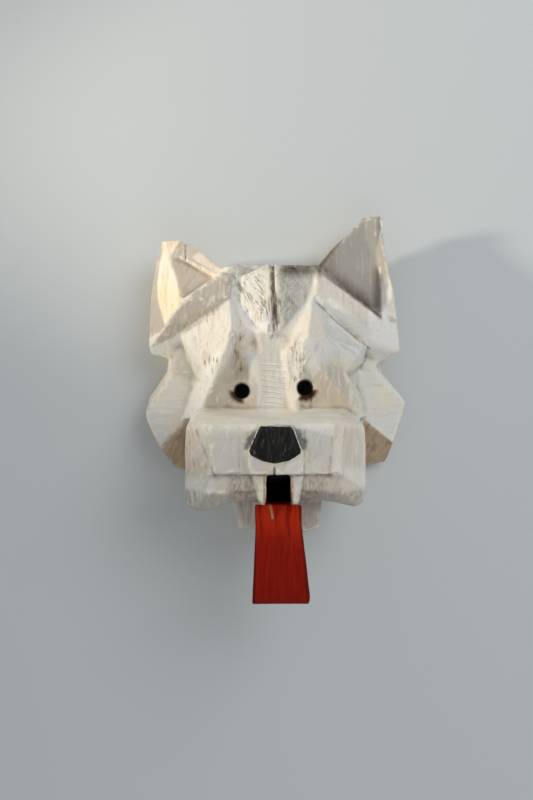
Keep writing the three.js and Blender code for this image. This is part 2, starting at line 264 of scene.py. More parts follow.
def furrow_side(spots):
    """How far each point lies to the right of the furrow in the forehead, in millimetres."""
    return spots[:, 0] + 3 - 0.03 * (123 - spots[:, 1])


def ripple_run(spots):
    """How far each point lies along the run of the gouge's ripples between the eyes, in millimetres."""
    return spots[:, 1] + 0.12 * spots[:, 0] + 1.2 * waves(spots, 11, 5)


def cut_marks(spots):
    """Short knife cuts, from 0 to 1, that lean towards the furrow."""
    lean = np.where(furrow_side(spots) < 0, 0.28, -0.22)
    turned = spots + np.outer(lean * spots[:, 1], (1, 0, 0))
    return ramp(waves(turned, (2.4, 15, 8), 4) + 0.35 * waves(turned, (1.6, 8, 5), 14), 0.15, 0.7)


FLECKED = ((BROW_INSIDE, 1), (BROW_FOOT, 0.6), (TEMPLE_FOOT, 0.75), (BRIDGE_RIM, 0.9), (CHEEK_LEFT, 0.5),
           (JOWL_LEFT, 0.45), (TEMPLE_LEFT, 0.25))


def thickness(spots, zones):
    """How thick the knife cuts stand, from 0 to 1, in outlines that each have a most."""
    share = np.zeros(len(spots))
    for outline, most in zones:
        share = np.maximum(share, most * ramp(inside(outline, spots), -3, 4))
    return share * ramp(spots[:, 2], 62, 72)


def hair_share(spots):
    """How thick the knife cuts stand on the whole face, from 0 to 1."""
    return thickness(spots, FLECKED + ((TUFT_LEFT, 1), (TUFT_LOW, 1), (TUFT_RIGHT, 0.3)))


head = copy_of("head", "carved_head")
even_mesh(head, CARVING_GRAIN)
spots, normals = points_of(head)
x, y, z = spots.T
outside = ramp(z, 3, 8)

# Facets that the knife took off the ruffs, and the ear's outer edge
for outline, cut in ((RUFF_UNDER_LEFT, RUFF_CUT_LEFT), (RUFF_UNDER_RIGHT, RUFF_CUT_RIGHT)):
    spots = plane_off(spots, (inside(outline, spots) > 0) * ramp(70 - z, 0, 2) * outside, cut)
spots = plane_off(spots, ramp(y, 58, 64) * (x < -100), EAR_OUTER_CUT)

# The broken ear's inside, planed to one slope and hollowed a little, and corners that the block never lost
broken = ramp(inside(EAR_INSIDE, spots), 0, 1.5) * ramp(z, 40, 44) * (normals[:, 2] > -0.2)
spots = plane_off(spots, broken, EAR_INSIDE_SLOPE)
for shape in (plane_off, fill_up):
    hollowed = ramp(inside(RECESS, spots), 0, 1) * ramp(z, 40, 44) * (normals[:, 2] > 0)
    spots = shape(spots, hollowed, RECESS_SLOPE)
for notch, level in ((NOTCH_BROW_LEFT, BROW_LEVEL_LEFT), (NOTCH_BROW_RIGHT, BROW_LEVEL_RIGHT)):
    spots = fill_up(spots, ramp(inside(notch, spots), 0, 2) * ramp(z, 66, 70), level)
for notch, level in NOTCH_LEVELS:
    notched = ramp(inside(notch, spots), 0, 4) * ramp(z, 8, 14) * (normals[:, 2] > -0.2)
    spots = fill_up(spots, notched, ((0, 0, level), (1, 0, level), (0, 1, level)))
pitted = ramp(inside(PIT_LEFT, spots), 0, 3) * ramp(z, 8, 14) * (normals[:, 2] > -0.3)
spots = fill_up(spots, pitted, PIT_LEVEL)
spots = plane_off(spots, ramp(inside(BAND_BEVEL, spots), 0, 0.8) * ramp(z, 56, 60), BAND_CUT)
off_eye = np.minimum(np.hypot(x - LEFT_EYE[0], y - LEFT_EYE[1]), np.hypot(x - RIGHT_EYE[0], y - RIGHT_EYE[1]))
off_eye = ramp(off_eye, EYE_RADIUS + 0.5, EYE_RADIUS + 1.5)
spots = fill_up(spots, ramp(inside(EYE_CORNER, spots), 0, 3) * ramp(z, 70, 76) * off_eye, EYE_CORNER_LEVEL)
valley = ramp(inside(VALLEY_LEFT, spots), -3, 3) * ramp(z, 70, 76) * ramp(y, 46, 68)
spots = fill_up(spots, valley, VALLEY_LEVEL)
spots = fill_up(spots, ramp(inside(GROOVE_RIGHT, spots), -3, 2) * ramp(z, 70, 76), GROOVE_LEVEL)
spots = fill_up(spots, ramp(inside(TUFT_TIP, spots), -2, 4) * ramp(z, 70, 76), TUFT_TIP_SLOPE)

# The right ear's outer wall, raised to a rim, and the step from the snout's front down to the lips
ear_side = ramp(inside(EAR_SIDE, spots), 0, 1) * (normals[:, 2] > -0.2)
for shape in (plane_off, fill_up):
    spots = shape(spots, ear_side * ramp(182 - y, 0, 14) * (z > 30), EAR_SIDE_SLOPE)
spots = plane_off(spots, ear_side, EAR_SIDE_TOP)
for lip in (LIP_LEFT, LIP_RIGHT):
    stepped = ramp(inside(lip, spots), 0, 1) * ramp(80 - np.abs(x), 0, 30) * (z > 100) * (normals[:, 1] < 0.5)
    for shape in (plane_off, fill_up):
        spots = shape(spots, stepped, LIP_STEP)

# The top edge between the ears and round the right ear, a few millimetres proud of the block
x, y, z = spots.T
edge_y = np.interp(x, *zip(*TOP_EDGE))
proud = np.interp(x, *zip(*TOP_PROUD))
spots = spots + np.outer(proud * ramp(y - edge_y, -7, -0.5) * ramp(116 - x, 0, 4), (0, 1, 0))
move_points(head, spots)
even_mesh(head, CARVING_GRAIN)
spots, normals = points_of(head)
x, y, z = spots.T
outside = ramp(z, 3, 8)

# The snout's upper edge wanders a little, as the knife left it
on_step = ramp(z, 86, 94) * ramp(128 - z, 0, 8) * ramp(y, -38, -30) * ramp(-8 - y, 0, 4)
on_step = on_step * ramp(92 - np.abs(x), 0, 8)
wander = 2.0 * waves(spots, 24, 18) + waves(spots, 9, 19) - 1.5 - 3.5 * np.exp(-((x / 24) ** 2))
spots = spots + np.outer(on_step * wander, (0, 1, 0))

# Rounded edges: a little everywhere, more on the snout's top and where the forehead runs into the bridge
fine = softened(head, spots, 3)
broad = softened(head, fine, 36)
soft = 0.8 * ramp(inside(TUFT_FOOT, spots), 0, 8)
soft = np.maximum(soft, 0.25 * ramp(inside(CHANNEL, spots), -2, 6))
soft = np.maximum(soft, 0.5 * ramp(inside(EYE_CORNER, spots), -2, 5))
soft *= ramp(z, 70, 76)
on_snout = ramp(inside(SNOUT_TOP, spots), 0, 8) * ramp(92 - np.abs(x), 0, 8) * ramp(z, 84, 94)
on_snout = on_snout * ramp(-inside(NOSE_FOOT, spots), 0, 4)
soft = np.maximum(soft, 0.9 * on_snout)
for eye in (LEFT_EYE, RIGHT_EYE):
    soft *= ramp(np.hypot(x - eye[0], y - eye[1]), EYE_RADIUS + 1, EYE_RADIUS + 5)
spots = spots + (fine - spots) * (0.6 * outside)[:, None]
spots = spots + (broad - spots) * soft[:, None]
on_edge = ramp(4.5 - from_line(EAR_EDGE, spots), 0, 2) * ramp(z, 36, 40)
spots = spots + (softened(head, spots, 10) - spots) * (0.9 * on_edge)[:, None]
move_points(head, spots)

# The marks of knife, gouge and brush
spots, normals = points_of(head)
x, y, z = spots.T
hollow = ramp(-normals[:, 2], 0.1, 0.4) * ramp(z, 3, 10) * ramp(80 - z, 0, 10)
ridges = np.sum((spots - softened(head, spots, 8)) * normals, axis=1)
rise = 0.6 * waves(spots, 26, 1) + 0.28 * waves(spots, 10, 2)
rise += 0.2 * waves(spots, (3.2, 14, 9), 3)
rise -= 0.5 * hair_share(spots) * cut_marks(spots)
furrow = furrow_side(spots)
furrow_width = 2.6 + 2.4 * ramp(98 - y, 0, 10)
furrow = np.exp(-((furrow / np.where(furrow < 0, 1.6, furrow_width)) ** 2))
furrow = furrow * ramp(y, 52, 66) * ramp(z, 60, 66)
rise -= FURROW_DEPTH * furrow
rise -= SLIT_DEPTH * np.exp(-(((x - SLIT_X) / 1.2) ** 2)) * ramp(y, 131, 136) * ramp(z, 46, 50)
in_channel = ramp(inside(CHANNEL, spots), 0, 8) * ramp(z, 70, 76)
rise -= 1.2 * in_channel
ripples = np.cos(2 * np.pi * ripple_run(spots) / RIPPLE_PITCH)
rise -= 0.45 * ripples * in_channel * ramp(34 - y, 0, 8)
rise -= 1.5 * np.exp(-(((x + 0.6) / 1.1) ** 2)) * ramp(z, 146, 150) * ramp(-71 - y, 0, 3)
nicks = ramp(ridges, 0.12, 0.45) * ramp(waves(spots, 5, 6) + 0.6 * waves(spots, 14, 7), 0.1, 0.9)
rise -= NICK_DEPTH * nicks * (1 - 0.8 * ramp(x, 98, 104) * ramp(y, 56, 62))
rise = rise * (1 - hollow) + hollow * (1.1 * waves(spots, 15, 8) + 0.5 * waves(spots, 7, 9))
move_points(head, spots + normals * (rise * outside)[:, None])

thin = head.modifiers.new("thin_out", "DECIMATE")
thin.ratio = MOST_TRIANGLES / (2 * len(head.data.polygons))
thin.use_collapse_triangulate = True
bpy.ops.object.modifier_apply(modifier=thin.name)
bpy.ops.object.shade_smooth()

# Where each finish of the head, and each painted highlight and shade, begins and ends, in millimetres inside
# its edge
FLAP = [(-114, 153), (-121, 109), (-119, 90), (-112, 67), (-94, 88), (-93, 98), (-106, 137)]
FLAP_TOP = [(-116, 158), (-114, 137), (-91.5, 131), (-92.5, 158)]
SLAB = [(-92, 158), (-82, 158), (-54, 124), (-60, 115), (-91, 131)]
EAR_STRIP = [(-127, 156), (-140, 110), (-140, 50), (-111, 62), (-111, 156)]
EAR_BAND = [(-112, 64), (-85, 98), (-52, 118), (-40, 116), (-44, 92), (-104, 54), (-130, 43)]
BAND_RIGHT = [(43, 118), (106, 75), (124, 46), (96, 52), (62, 82), (41, 96)]
TEMPLE_RIGHT = [(44, 84), (64, 80), (96, 46), (84, 30), (60, 40), (46, 60)]
EAR_RIGHT = [(44, 127), (57, 146), (75, 169), (88, 182), (112, 188), (114, 150), (106, 73)]
EAR_WALL = [(98.5, 186), (134, 186), (134, 65), (102, 79)]
EAR_FOOT = [(43, 121), (57, 146), (75, 169), (88, 182), (112, 188), (112, 150), (106, 72)]
BAND_END = [(94, 82), (112, 86), (136, 60), (134, 36), (94, 46)]
TUFT_POINT = [(-18, 68), (8, 68), (2, 48), (-6, 48)]
TUFT_EDGE = [(-41, 110), (-42.5, 96), (-24, 67), (-4, 52)]
CHANNEL_TOP = [(-36, 92), (-30, 60), (-14, 56), (-22, 72)]
BAND_FOOT = [(40, 89), (60, 70.5), (86, 49.5), (98, 42)]
SOCKET_LEFT = [(-46, 38), (-62, 6), (-74, -12), (-66, -20), (-18, -20), (-18, 4), (-36, 38)]
SOCKET_RIGHT = [(34, 58), (58, 36), (72, 15), (91, -30), (72, -24), (40, -20), (24, -20), (24, 8), (33, 14)]
SNOUT_FRONT = [(-74, -38), (58, -38), (54, -82), (-57, -82)]
RUFF_EDGE = [(99, 24), (135, -11)]
CHEEK_EDGE = [(70, 16), (82, 0), (90, -28)]
SNOUT_LINES = (((-76, -38), (-57, -83)), ((-34, -46), (-35, -83)), ((27.5, -40), (27, -83)),
           ((53, -44), (51, -83)))
LIP_DIRT_AND_SHADE_LEFT = [(-46, -82), (-22, -82), (-17, -108), (-42, -106)]
LIP_DIRT_AND_SHADE_RIGHT = [(29, -83), (46, -85), (46, -106), (24, -110)]
PANEL_FOOT = [(-58, -80.8), (-22, -81), (28, -81), (54, -80.6)]
JOWL_RIGHT = [(62, -34), (86, -32), (86, -78), (60, -76)]
JAW_RIGHT = [(14, -110), (48, -110), (48, -145), (14, -145)]
SLOT = [(-9.8, -120), (15.2, -120), (15.2, -80.2), (-9.8, -80.2)]
SLOT_MIDDLE = 2.7
SLOT_HALF = 13.2
HAIRY = ((TUFT_LEFT, 1), (TUFT_LOW, 1), (TUFT_RIGHT, 0.15), (BROW_INSIDE, 0.6), (BRIDGE_RIM, 0.4),
         (JOWL_LEFT, 0.15))
# Painted highlights: zones painted lighter where light falls on them, each with a most
PAINTED_HIGHLIGHTS = ((TUFT_LEFT, 0.5), (TUFT_POINT, 1), (CHEEK_LEFT, 0.8), (CHANNEL_TOP, 0.6), (BAND_END, 1),
          (BAND_BEVEL, 1))

spots, normals = points_of(head)
x, y, z = spots.T
front = np.where(normals[:, 2] > -0.2, 0, -50)
keep(head, "ridge", np.sum((spots - softened(head, spots, 4)) * normals, axis=1))
keep(head, "crease", np.sum((softened(head, spots, 30) - spots) * normals, axis=1))
keep(head, "cuts", hair_share(spots) * cut_marks(spots))
keep(head, "hair", thickness(spots, HAIRY))
keep(head, "flecked", thickness(spots, FLECKED + ((TUFT_LEFT, 0.3), (TUFT_LOW, 0.4))))
furrow = furrow_side(spots) + 1.5 * waves(spots, 6, 15)
furrow_width = 2.2 + 3.3 * ramp(98 - y, 0, 10)
furrow = np.exp(-((furrow / np.where(furrow < 0, 1.6, furrow_width)) ** 2)) * ramp(z, 60, 66)
keep(head, "furrow", furrow * ramp(y + 3 * waves(spots, (3, 9, 9), 16), 48, 62))
keep(head, "bare_flap", np.maximum(inside(FLAP, spots), inside(FLAP_TOP, spots)) + front)
keep(head, "bare_slab", inside(SLAB, spots) + front)
# Dull paint on the left ear's outer strip and band, and painted shade on the band
keep(head, "band_paint_and_shade", np.maximum(inside(EAR_STRIP, spots), inside(EAR_BAND, spots)) + front)
keep(head, "recess", inside(RECESS, spots) + front)
keep(head, "pink_band", inside(BAND_RIGHT, spots) + front)
crossed = np.maximum(ramp(inside(TEMPLE_RIGHT, spots), -3, 4), 0.4 * ramp(inside(TUFT_RIGHT, spots), -3, 4))
keep(head, "crossed", crossed)
keep(head, "lean", ramp(inside(TUFT_LEFT, spots), -3, 3))
# Painted shade, partly dirt: dark on the right ear's inside above its band, and on the top of the forehead,
# where shade falls
above_band = 0.583 * (x - 46) + 0.813 * (y - 117)
ear_crease_shade = ramp(above_band, -2, 0) * ramp(17 - above_band, 0, 12) * ramp(inside(EAR_FOOT, spots), -3, -1)
ear_crease_shade *= 0.62 + 0.38 * ramp(x, 60, 98)
ear_crease_shade *= 1 - 0.85 * ramp(x, 95, 100) * ramp(above_band, 1, 6)
top_shade = ramp(y, 111, 119) * ramp(x, 2, 10) * ramp(50 - x, 0, 4)
top_shade = np.maximum(top_shade, 0.3 * ramp(y, 119, 122) * ramp(x, -46, -42))
top_shade = top_shade * ramp(normals[:, 2], 0.05, 0.3)
keep(head, "shaded", np.maximum(ear_crease_shade, 0.85 * top_shade * ramp(z, 56, 60)))
# Painted highlights on the tuft, its point, the left cheek, the top of the channel and the right band's end
# and bevel
painted_highlight_share = np.zeros(len(spots))
for outline, most in PAINTED_HIGHLIGHTS:
    painted_highlight_share = np.maximum(painted_highlight_share, most * ramp(inside(outline, spots), -2, 2))
keep(head, "painted_highlight", painted_highlight_share * ramp(z, 44, 48))
# Painted light: the right ear's outer wall is painted brighter low down, where the band's shadow falls on it
keep(head, "wall_painted_light", 0.75 * ramp(119 - y, 0, 9) * ramp(y, 50, 60) * ramp(x, 105, 108))
keep(head, "dark_edge", ramp(3.5 - from_line(EAR_TOP, spots), 0, 1.5) * ramp(z, 20, 24))
# Grey on the ruffs' faces, and painted shade on the filled pit beside the left ear
ruff_face_and_pit_shade = ramp(-84 - x, 0, 8) * ramp(20 - y, 0, 10)
ruff_face_and_pit_shade = np.maximum(0.4 * ruff_face_and_pit_shade, ramp(inside(PIT_LEFT, spots), -3, 3)) * ramp(64 - z, 0, 4)
keep(head, "ruff_face_and_pit_shade", ruff_face_and_pit_shade)
keep(head, "temple_right", ramp(inside(TEMPLE_RIGHT, spots), -2, 4) * ramp(z, 62, 66))
# Painted shade: a dark line along the foot of the right ear's band, at its step
keep(head, "foot_shade_line", ramp(1.5 - from_line(BAND_FOOT, spots), 0, 1) * ramp(z, 56, 60))
keep(head, "brow_stain", ramp(inside(BROW_INSIDE, spots), -5, 4) * ramp(z, 70, 76))
keep(head, "tooth", ramp(27 - np.abs(x - 2), 0, 2) * ramp(-81 - y, 0, 2) * ramp(z, 140, 143))
keep(head, "flap_top", ramp(y, 96, 122))
# Painted highlights along lit edges: the right ruff's top, the right cheek, the right ear's outer edge and
# the tuft's left edge
painted_edge_highlight = ramp(2.5 - from_line(RUFF_EDGE, spots), 0, 1.5)
for line in (CHEEK_EDGE, EAR_EDGE, TUFT_EDGE):
    painted_edge_highlight = np.maximum(painted_edge_highlight, ramp(2 - from_line(line, spots), 0, 1.5))
keep(head, "painted_edge_highlight", painted_edge_highlight)
# Thin dark lines along the snout's facet edges
snout_lines = np.full(len(spots), np.inf)
for line in SNOUT_LINES:
    snout_lines = np.minimum(snout_lines, from_line(line, spots))
keep(head, "snout_lines", ramp(1.6 - snout_lines, 0, 1) * ramp(z, 134, 138))
# Painted shade on the down-facing undersides below the lips
keep(head, "underside_shade", ramp(-normals[:, 1], 0.5, 0.85) * ramp(-98 - y, 0, 4) * ramp(z, 88, 92))
panel = ramp(inside(SNOUT_FRONT, spots), -4, 4) * ramp(z, 134, 140)
keep(head, "panel", panel * (1 - 0.6 * ramp(x, -10, 10)))
# Grey paint, partly painted shade, on the right half of the tuft and inside the right ear, which face away
# from the light
keep(head, "grey_paint_and_shade", np.maximum(inside(TUFT_RIGHT, spots), inside(EAR_RIGHT, spots)) + front)
keep(head, "ear_wall", np.maximum(inside(EAR_WALL, spots), inside(JAW_RIGHT, spots) - 1) + front)
under_ruff = np.maximum(0.25 * inside(RUFF_UNDER_LEFT, spots) - 0.7, inside(RUFF_UNDER_RIGHT, spots))
keep(head, "under_ruff", np.minimum(under_ruff, 12 * (0.1 - normals[:, 1])) - np.where(z > 64, 50, 0))
keep(head, "under_lip", ramp(-94 - y + 2 * waves(spots, 9, 17), 0, 5) * ramp(z, 92, 98) * (np.abs(x) > 22))
keep(head, "nose", inside(NOSE, spots) - np.where(z < 149, 50, 0))
keep(head, "nose_side", np.minimum(inside(NOSE_FOOT, spots), y + 60) - np.where(z < 147, 50, 0))
keep(head, "nose_line", ramp(np.abs(x), 14, 17) * ramp(z, 149, 151) * ramp(y, -64, -60))
philtrum = np.exp(-(((x + 1.3) / 0.8) ** 2)) * ramp(-72.5 - y, 0, 1)
keep(head, "philtrum", philtrum * ramp(y, -82, -80) * ramp(z, 140, 144))
# Dirt and painted shade on the lips beside the mouth
lip_dirt_and_shade = np.maximum(inside(LIP_DIRT_AND_SHADE_LEFT, spots), inside(LIP_DIRT_AND_SHADE_RIGHT, spots))
keep(head, "lip_dirt_and_shade", ramp(lip_dirt_and_shade, -4, 4) * ramp(z, 96, 100) * ramp(147 - z, 0, 3))
# Dirt and painted shade in a thin line under the snout's front panel
keep(head, "panel_line_dirt_and_shade", ramp(1.3 - from_line(PANEL_FOOT, spots), 0, 0.7) * ramp(z, 138, 141))
beside_slot = np.abs(np.abs(x - SLOT_MIDDLE) - SLOT_HALF)
slot_edge = ramp(1.3 - beside_slot, 0, 1) * ramp(-81 - y, 0, 2)
keep(head, "slot_edge", slot_edge * ramp(y, -113, -111) * ramp(z, 128, 132))
keep(head, "warm_side", np.maximum(inside(JOWL_LEFT, spots), inside(JOWL_RIGHT, spots) - 3) + front)
left_eye = np.hypot(x - LEFT_EYE[0], y - LEFT_EYE[1]) - EYE_RADIUS
right_eye = np.hypot(x - RIGHT_EYE[0], y - RIGHT_EYE[1]) - EYE_RADIUS
keep(head, "from_eye", np.where(z > 40, np.minimum(left_eye, right_eye), 50))
below_left = (-0.66 * (x - LEFT_EYE[0]) - 0.75 * (y - LEFT_EYE[1])) / EYE_RADIUS
stain_left = 6.5 * ramp(below_left, 0.55, 1) - left_eye
below_right = (0.45 * (x - RIGHT_EYE[0]) - 0.89 * (y - RIGHT_EYE[1])) / EYE_RADIUS
stain_right = 7.5 * ramp(below_right, 0.45, 1) - right_eye
stain = np.maximum(stain_left, stain_right) + 0.7 * waves(spots, 2.6, 21)
keep(head, "eye_stain", np.where(z > 60, stain, -50))
# Tan paint and painted shade in the eye sockets
keep(head, "socket", np.maximum(inside(SOCKET_LEFT, spots), 0.35 * inside(SOCKET_RIGHT, spots)) + front)
upright = np.maximum(inside(EAR_RIGHT, spots), inside(TUFT, spots))
keep(head, "upright", ramp(upright, -4, 0))
# Painted shadow in the slit between the broken ear's flap and slab
keep(head, "slit_shadow", np.exp(-(((x - SLIT_X) / 1.3) ** 2)) * ramp(y, 131, 136) * ramp(z, 40, 44))
# Depth inside the mouth slot; deep in, its walls are painted black as shade
in_slot = (inside(SLOT, spots) > 0) & ((np.abs(normals[:, 2]) < 0.8) | (z < 120))
keep(head, "in_slot", np.where(in_slot, 150 - z, 0))
keep(head, "behind", ramp(-normals[:, 2], 0.0, 0.3) * ramp(84 - z, 0, 8))
on_ledge = ramp(y, -36, -30) * ramp(-14 - y, 0, 4)
keep(head, "across", np.maximum(ramp(np.abs(x), 78, 92) * ramp(30 - y, 0, 8), on_ledge) * ramp(70 + y, 0, 10))
keep(head, "ripple", ripple_run(spots) / RIPPLE_PITCH)
keep(head, "channel", ramp(inside(CHANNEL, spots), 0, 4) * ramp(z, 70, 76) * ramp(34 - y, 0, 8))


def put(tree, kind, **inputs):
    """Adds a node, with each named input set to a value or joined to another node's output."""
    made = tree.nodes.new("ShaderNode" + kind)
    for name, given in inputs.items():
        socket = made.inputs[name.replace("_", " ")]
        if isinstance(given, bpy.types.NodeSocket):
            tree.links.new(given, socket)
        else:
            socket.default_value = given
    return made


def mask(tree, name):
    """The output of a number that the piece keeps for each point."""
    made = tree.nodes.new("ShaderNodeAttribute")
    made.attribute_name = name
    return made.outputs["Fac"]


def between(tree, value, start, end, low_value=0.0, high_value=1.0):
    """Maps a value from start to end onto another range, smoothly, and holds it at the ends."""
    made = put(tree, "MapRange", Value=value, From_Min=start, From_Max=end, To_Min=low_value,
               To_Max=high_value)
    made.interpolation_type = "SMOOTHSTEP"
    return made.outputs["Result"]


def reckon(tree, operation, *terms):
    """One of the Math node's operations on its terms."""
    made = tree.nodes.new("ShaderNodeMath")
    made.operation = operation
    for socket, given in zip(made.inputs, terms):
        if isinstance(given, bpy.types.NodeSocket):
            tree.links.new(given, socket)
        else:
            socket.default_value = given
    return made.outputs["Value"]


def coat(tree, under, over, cover):
    """One colour laid over another, where cover is above 0."""
    made = tree.nodes.new("ShaderNodeMix")
    made.data_type = "RGBA"
    for index, given in ((0, cover), (6, under), (7, over)):
        if isinstance(given, bpy.types.NodeSocket):
            tree.links.new(given, made.inputs[index])
        else:
            made.inputs[index].default_value = given if index == 0 else (*given, 1)
    return made.outputs[2]


def strokes_group():
    """Brush strokes: noise drawn out along one direction, with fine bristle lines in broader bands."""
    tree = bpy.data.node_groups.new("brush_strokes", "ShaderNodeTree")
    tree.interface.new_socket("Vector", in_out="INPUT", socket_type="NodeSocketVector")
    tree.interface.new_socket("Stretch", in_out="INPUT", socket_type="NodeSocketVector")
    tree.interface.new_socket("Detail", in_out="INPUT", socket_type="NodeSocketFloat")
    tree.interface.new_socket("Bend", in_out="INPUT", socket_type="NodeSocketFloat")
    tree.interface.new_socket("Stroke", in_out="OUTPUT", socket_type="NodeSocketFloat")
    start = tree.nodes.new("NodeGroupInput")
    end = tree.nodes.new("NodeGroupOutput")
    bent = put(tree, "TexNoise", Vector=start.outputs["Vector"], Scale=22.0, Detail=2.0)
    shift = tree.nodes.new("ShaderNodeVectorMath")
    shift.operation = "MULTIPLY_ADD"
    tree.links.new(bent.outputs["Color"], shift.inputs[0])
    tree.links.new(start.outputs["Bend"], shift.inputs[1])
    tree.links.new(start.outputs["Vector"], shift.inputs[2])
    drawn = tree.nodes.new("ShaderNodeVectorMath")
    drawn.operation = "MULTIPLY"
    tree.links.new(shift.outputs["Vector"], drawn.inputs[0])
    tree.links.new(start.outputs["Stretch"], drawn.inputs[1])
    bristles = put(tree, "TexNoise", Vector=drawn.outputs["Vector"], Scale=1.0, Roughness=0.62)
    tree.links.new(start.outputs["Detail"], bristles.inputs["Detail"])
    tree.links.new(bristles.outputs["Fac"], end.inputs["Stroke"])
    return tree


def strokes(tree, group, coordinates, stretch, detail=5.0, bend=0.012):
    """Places the strokes in a material: so many to a metre along X, Y and Z, and bent that far, in metres."""
    made = tree.nodes.new("ShaderNodeGroup")
    made.node_tree = group
    tree.links.new(coordinates, made.inputs["Vector"])
    made.inputs["Stretch"].default_value = stretch
    made.inputs["Detail"].default_value = detail
    made.inputs["Bend"].default_value = bend
    return made.outputs["Stroke"]


def scratches(tree, stroke, width):
    """Thin lines, where strokes pass their middle value."""
    off_middle = reckon(tree, "ABSOLUTE", reckon(tree, "SUBTRACT", stroke, 0.5))
    return between(tree, off_middle, width, 0.3 * width)


def new_material(name):
    """An empty material, with its node tree, its Principled shader and its object coordinates."""
    made = bpy.data.materials.new(name)
    made.use_nodes = True
    tree = made.node_tree
    shader = tree.nodes["Principled BSDF"]
    coordinates = tree.nodes.new("ShaderNodeTexCoord").outputs["Object"]
    return made, tree, shader, coordinates


WHITE_COOL = (0.80, 0.795, 0.745)
WHITE_FRESH = (0.86, 0.86, 0.83)
WHITE_WORN = (0.92, 0.86, 0.74)
WHITE_PAINTED_LIGHT = (0.97, 0.95, 0.90)
WHITE_WARM = (0.88, 0.81, 0.68)
WHITE_THIN = (0.60, 0.54, 0.45)
WHITE_GREY = (0.48, 0.445, 0.385)
WOOD_PALE = (0.93, 0.82, 0.62)
WOOD_PALE_STREAK = (0.84, 0.67, 0.45)
WOOD_PINK = (0.98, 0.84, 0.70)
BAND_DULL_AND_SHADE = (0.46, 0.395, 0.325)
RECESS_PALE = (0.86, 0.76, 0.62)
BAND_PINK = (0.86, 0.77, 0.68)
SOCKET_TAN_AND_SHADE = (0.53, 0.44, 0.325)
WALL_DULL = (0.55, 0.49, 0.415)
TEMPLE_GREY = (0.56, 0.58, 0.56)
BROW_BROWN = (0.40, 0.285, 0.16)
WOOD_WHITE = (0.95, 0.88, 0.75)
JOWL_TAN = (0.60, 0.50, 0.37)
WOOD_ORANGE = (0.42, 0.20, 0.07)
WOOD_BROWN = (0.54, 0.41, 0.27)
FLECK_AND_SHADE_DARK = (0.15, 0.105, 0.062)
GRIME_AND_SHADE = (0.30, 0.225, 0.145)
FLECK_GOLD = (0.52, 0.40, 0.25)
CREASE_SHADE_DARK = (0.10, 0.072, 0.047)
BARE_SHADE = (0.24, 0.17, 0.11)
BLACK = (0.0045, 0.0045, 0.0045)
EYE_STAIN = (0.035, 0.02, 0.01)
EYE_BROWN = (0.26, 0.145, 0.065)
SCUFF = (0.17, 0.14, 0.07)
SMUDGE = (0.10, 0.095, 0.085)
NOSE_ROUGHNESS = 0.55
PAINT_SHINE = 0.2
BRUSH_STRENGTH = 0.6
BRUSH_DEPTH = 0.0011

brush_strokes = strokes_group()
white, tree, shader, coordinates = new_material("worn_white_paint")
down = strokes(tree, brush_strokes, coordinates, (270, 32, 110))
across = strokes(tree, brush_strokes, coordinates, (30, 300, 110))


def slanted(angle, stretch, detail=5.0, bend=0.012):
    """Brush strokes turned by an angle, in radians, as seen from the front."""
    turned = put(tree, "Mapping", Vector=coordinates, Rotation=(0, 0, angle))
    return strokes(tree, brush_strokes, turned.outputs["Vector"], stretch, detail, bend)


slant = slanted(0.45, (270, 36, 110))
sweep = put(tree, "TexNoise", Vector=coordinates, Scale=20.0, Detail=1.0).outputs["Fac"]
sweep = reckon(tree, "SUBTRACT", between(tree, sweep, 0.46, 0.56), mask(tree, "upright"))
stroke = put(tree, "Mix", Factor=sweep, A=down, B=slant).outputs["Result"]
stroke = put(tree, "Mix", Factor=mask(tree, "across"), A=stroke, B=across).outputs["Result"]
blotch = put(tree, "TexNoise", Vector=coordinates, Scale=30.0, Detail=3.0, Roughness=0.5).outputs["Fac"]
patch = put(tree, "TexNoise", Vector=coordinates, Scale=95.0, Detail=4.0, Roughness=0.6).outputs["Fac"]
speck = put(tree, "TexNoise", Vector=coordinates, Scale=420.0, Detail=4.0, Roughness=0.6).outputs["Fac"]
ragged = reckon(tree, "MULTIPLY_ADD", speck, 2.4, -1.2)


def zone(name, soft):
    """A painted zone of the head, with a ragged edge that is that many millimetres soft."""
    return between(tree, reckon(tree, "ADD", mask(tree, name), ragged), -soft, soft)


paint = coat(tree, WHITE_COOL, WHITE_WARM, between(tree, blotch, 0.36, 0.66))
paint = coat(tree, paint, BAND_PINK, reckon(tree, "MULTIPLY", zone("pink_band", 1.0), 0.6))
# Tan paint and painted shade in the eye sockets
paint = coat(tree, paint, SOCKET_TAN_AND_SHADE, reckon(tree, "MULTIPLY", zone("socket", 4.0), 0.7))
paint = coat(tree, paint, JOWL_TAN, reckon(tree, "MULTIPLY", zone("warm_side", 6.0), 0.5))
# Dull paint and painted shade on the left ear's strip and band
paint = coat(tree, paint, BAND_DULL_AND_SHADE, reckon(tree, "MULTIPLY", zone("band_paint_and_shade", 1.2), 0.8))
paint = coat(tree, paint, RECESS_PALE, reckon(tree, "MULTIPLY", zone("recess", 1.0), 0.9))
grey_strokes = between(tree, stroke, 0.34, 0.62, 0.7, 1.0)
# Grey paint and painted shade on the right tuft and inside the right ear
paint = coat(tree, paint, WHITE_GREY, reckon(tree, "MULTIPLY", zone("grey_paint_and_shade", 2.0), grey_strokes))
paint = coat(tree, paint, WHITE_GREY, reckon(tree, "MULTIPLY", mask(tree, "panel"), 0.46))
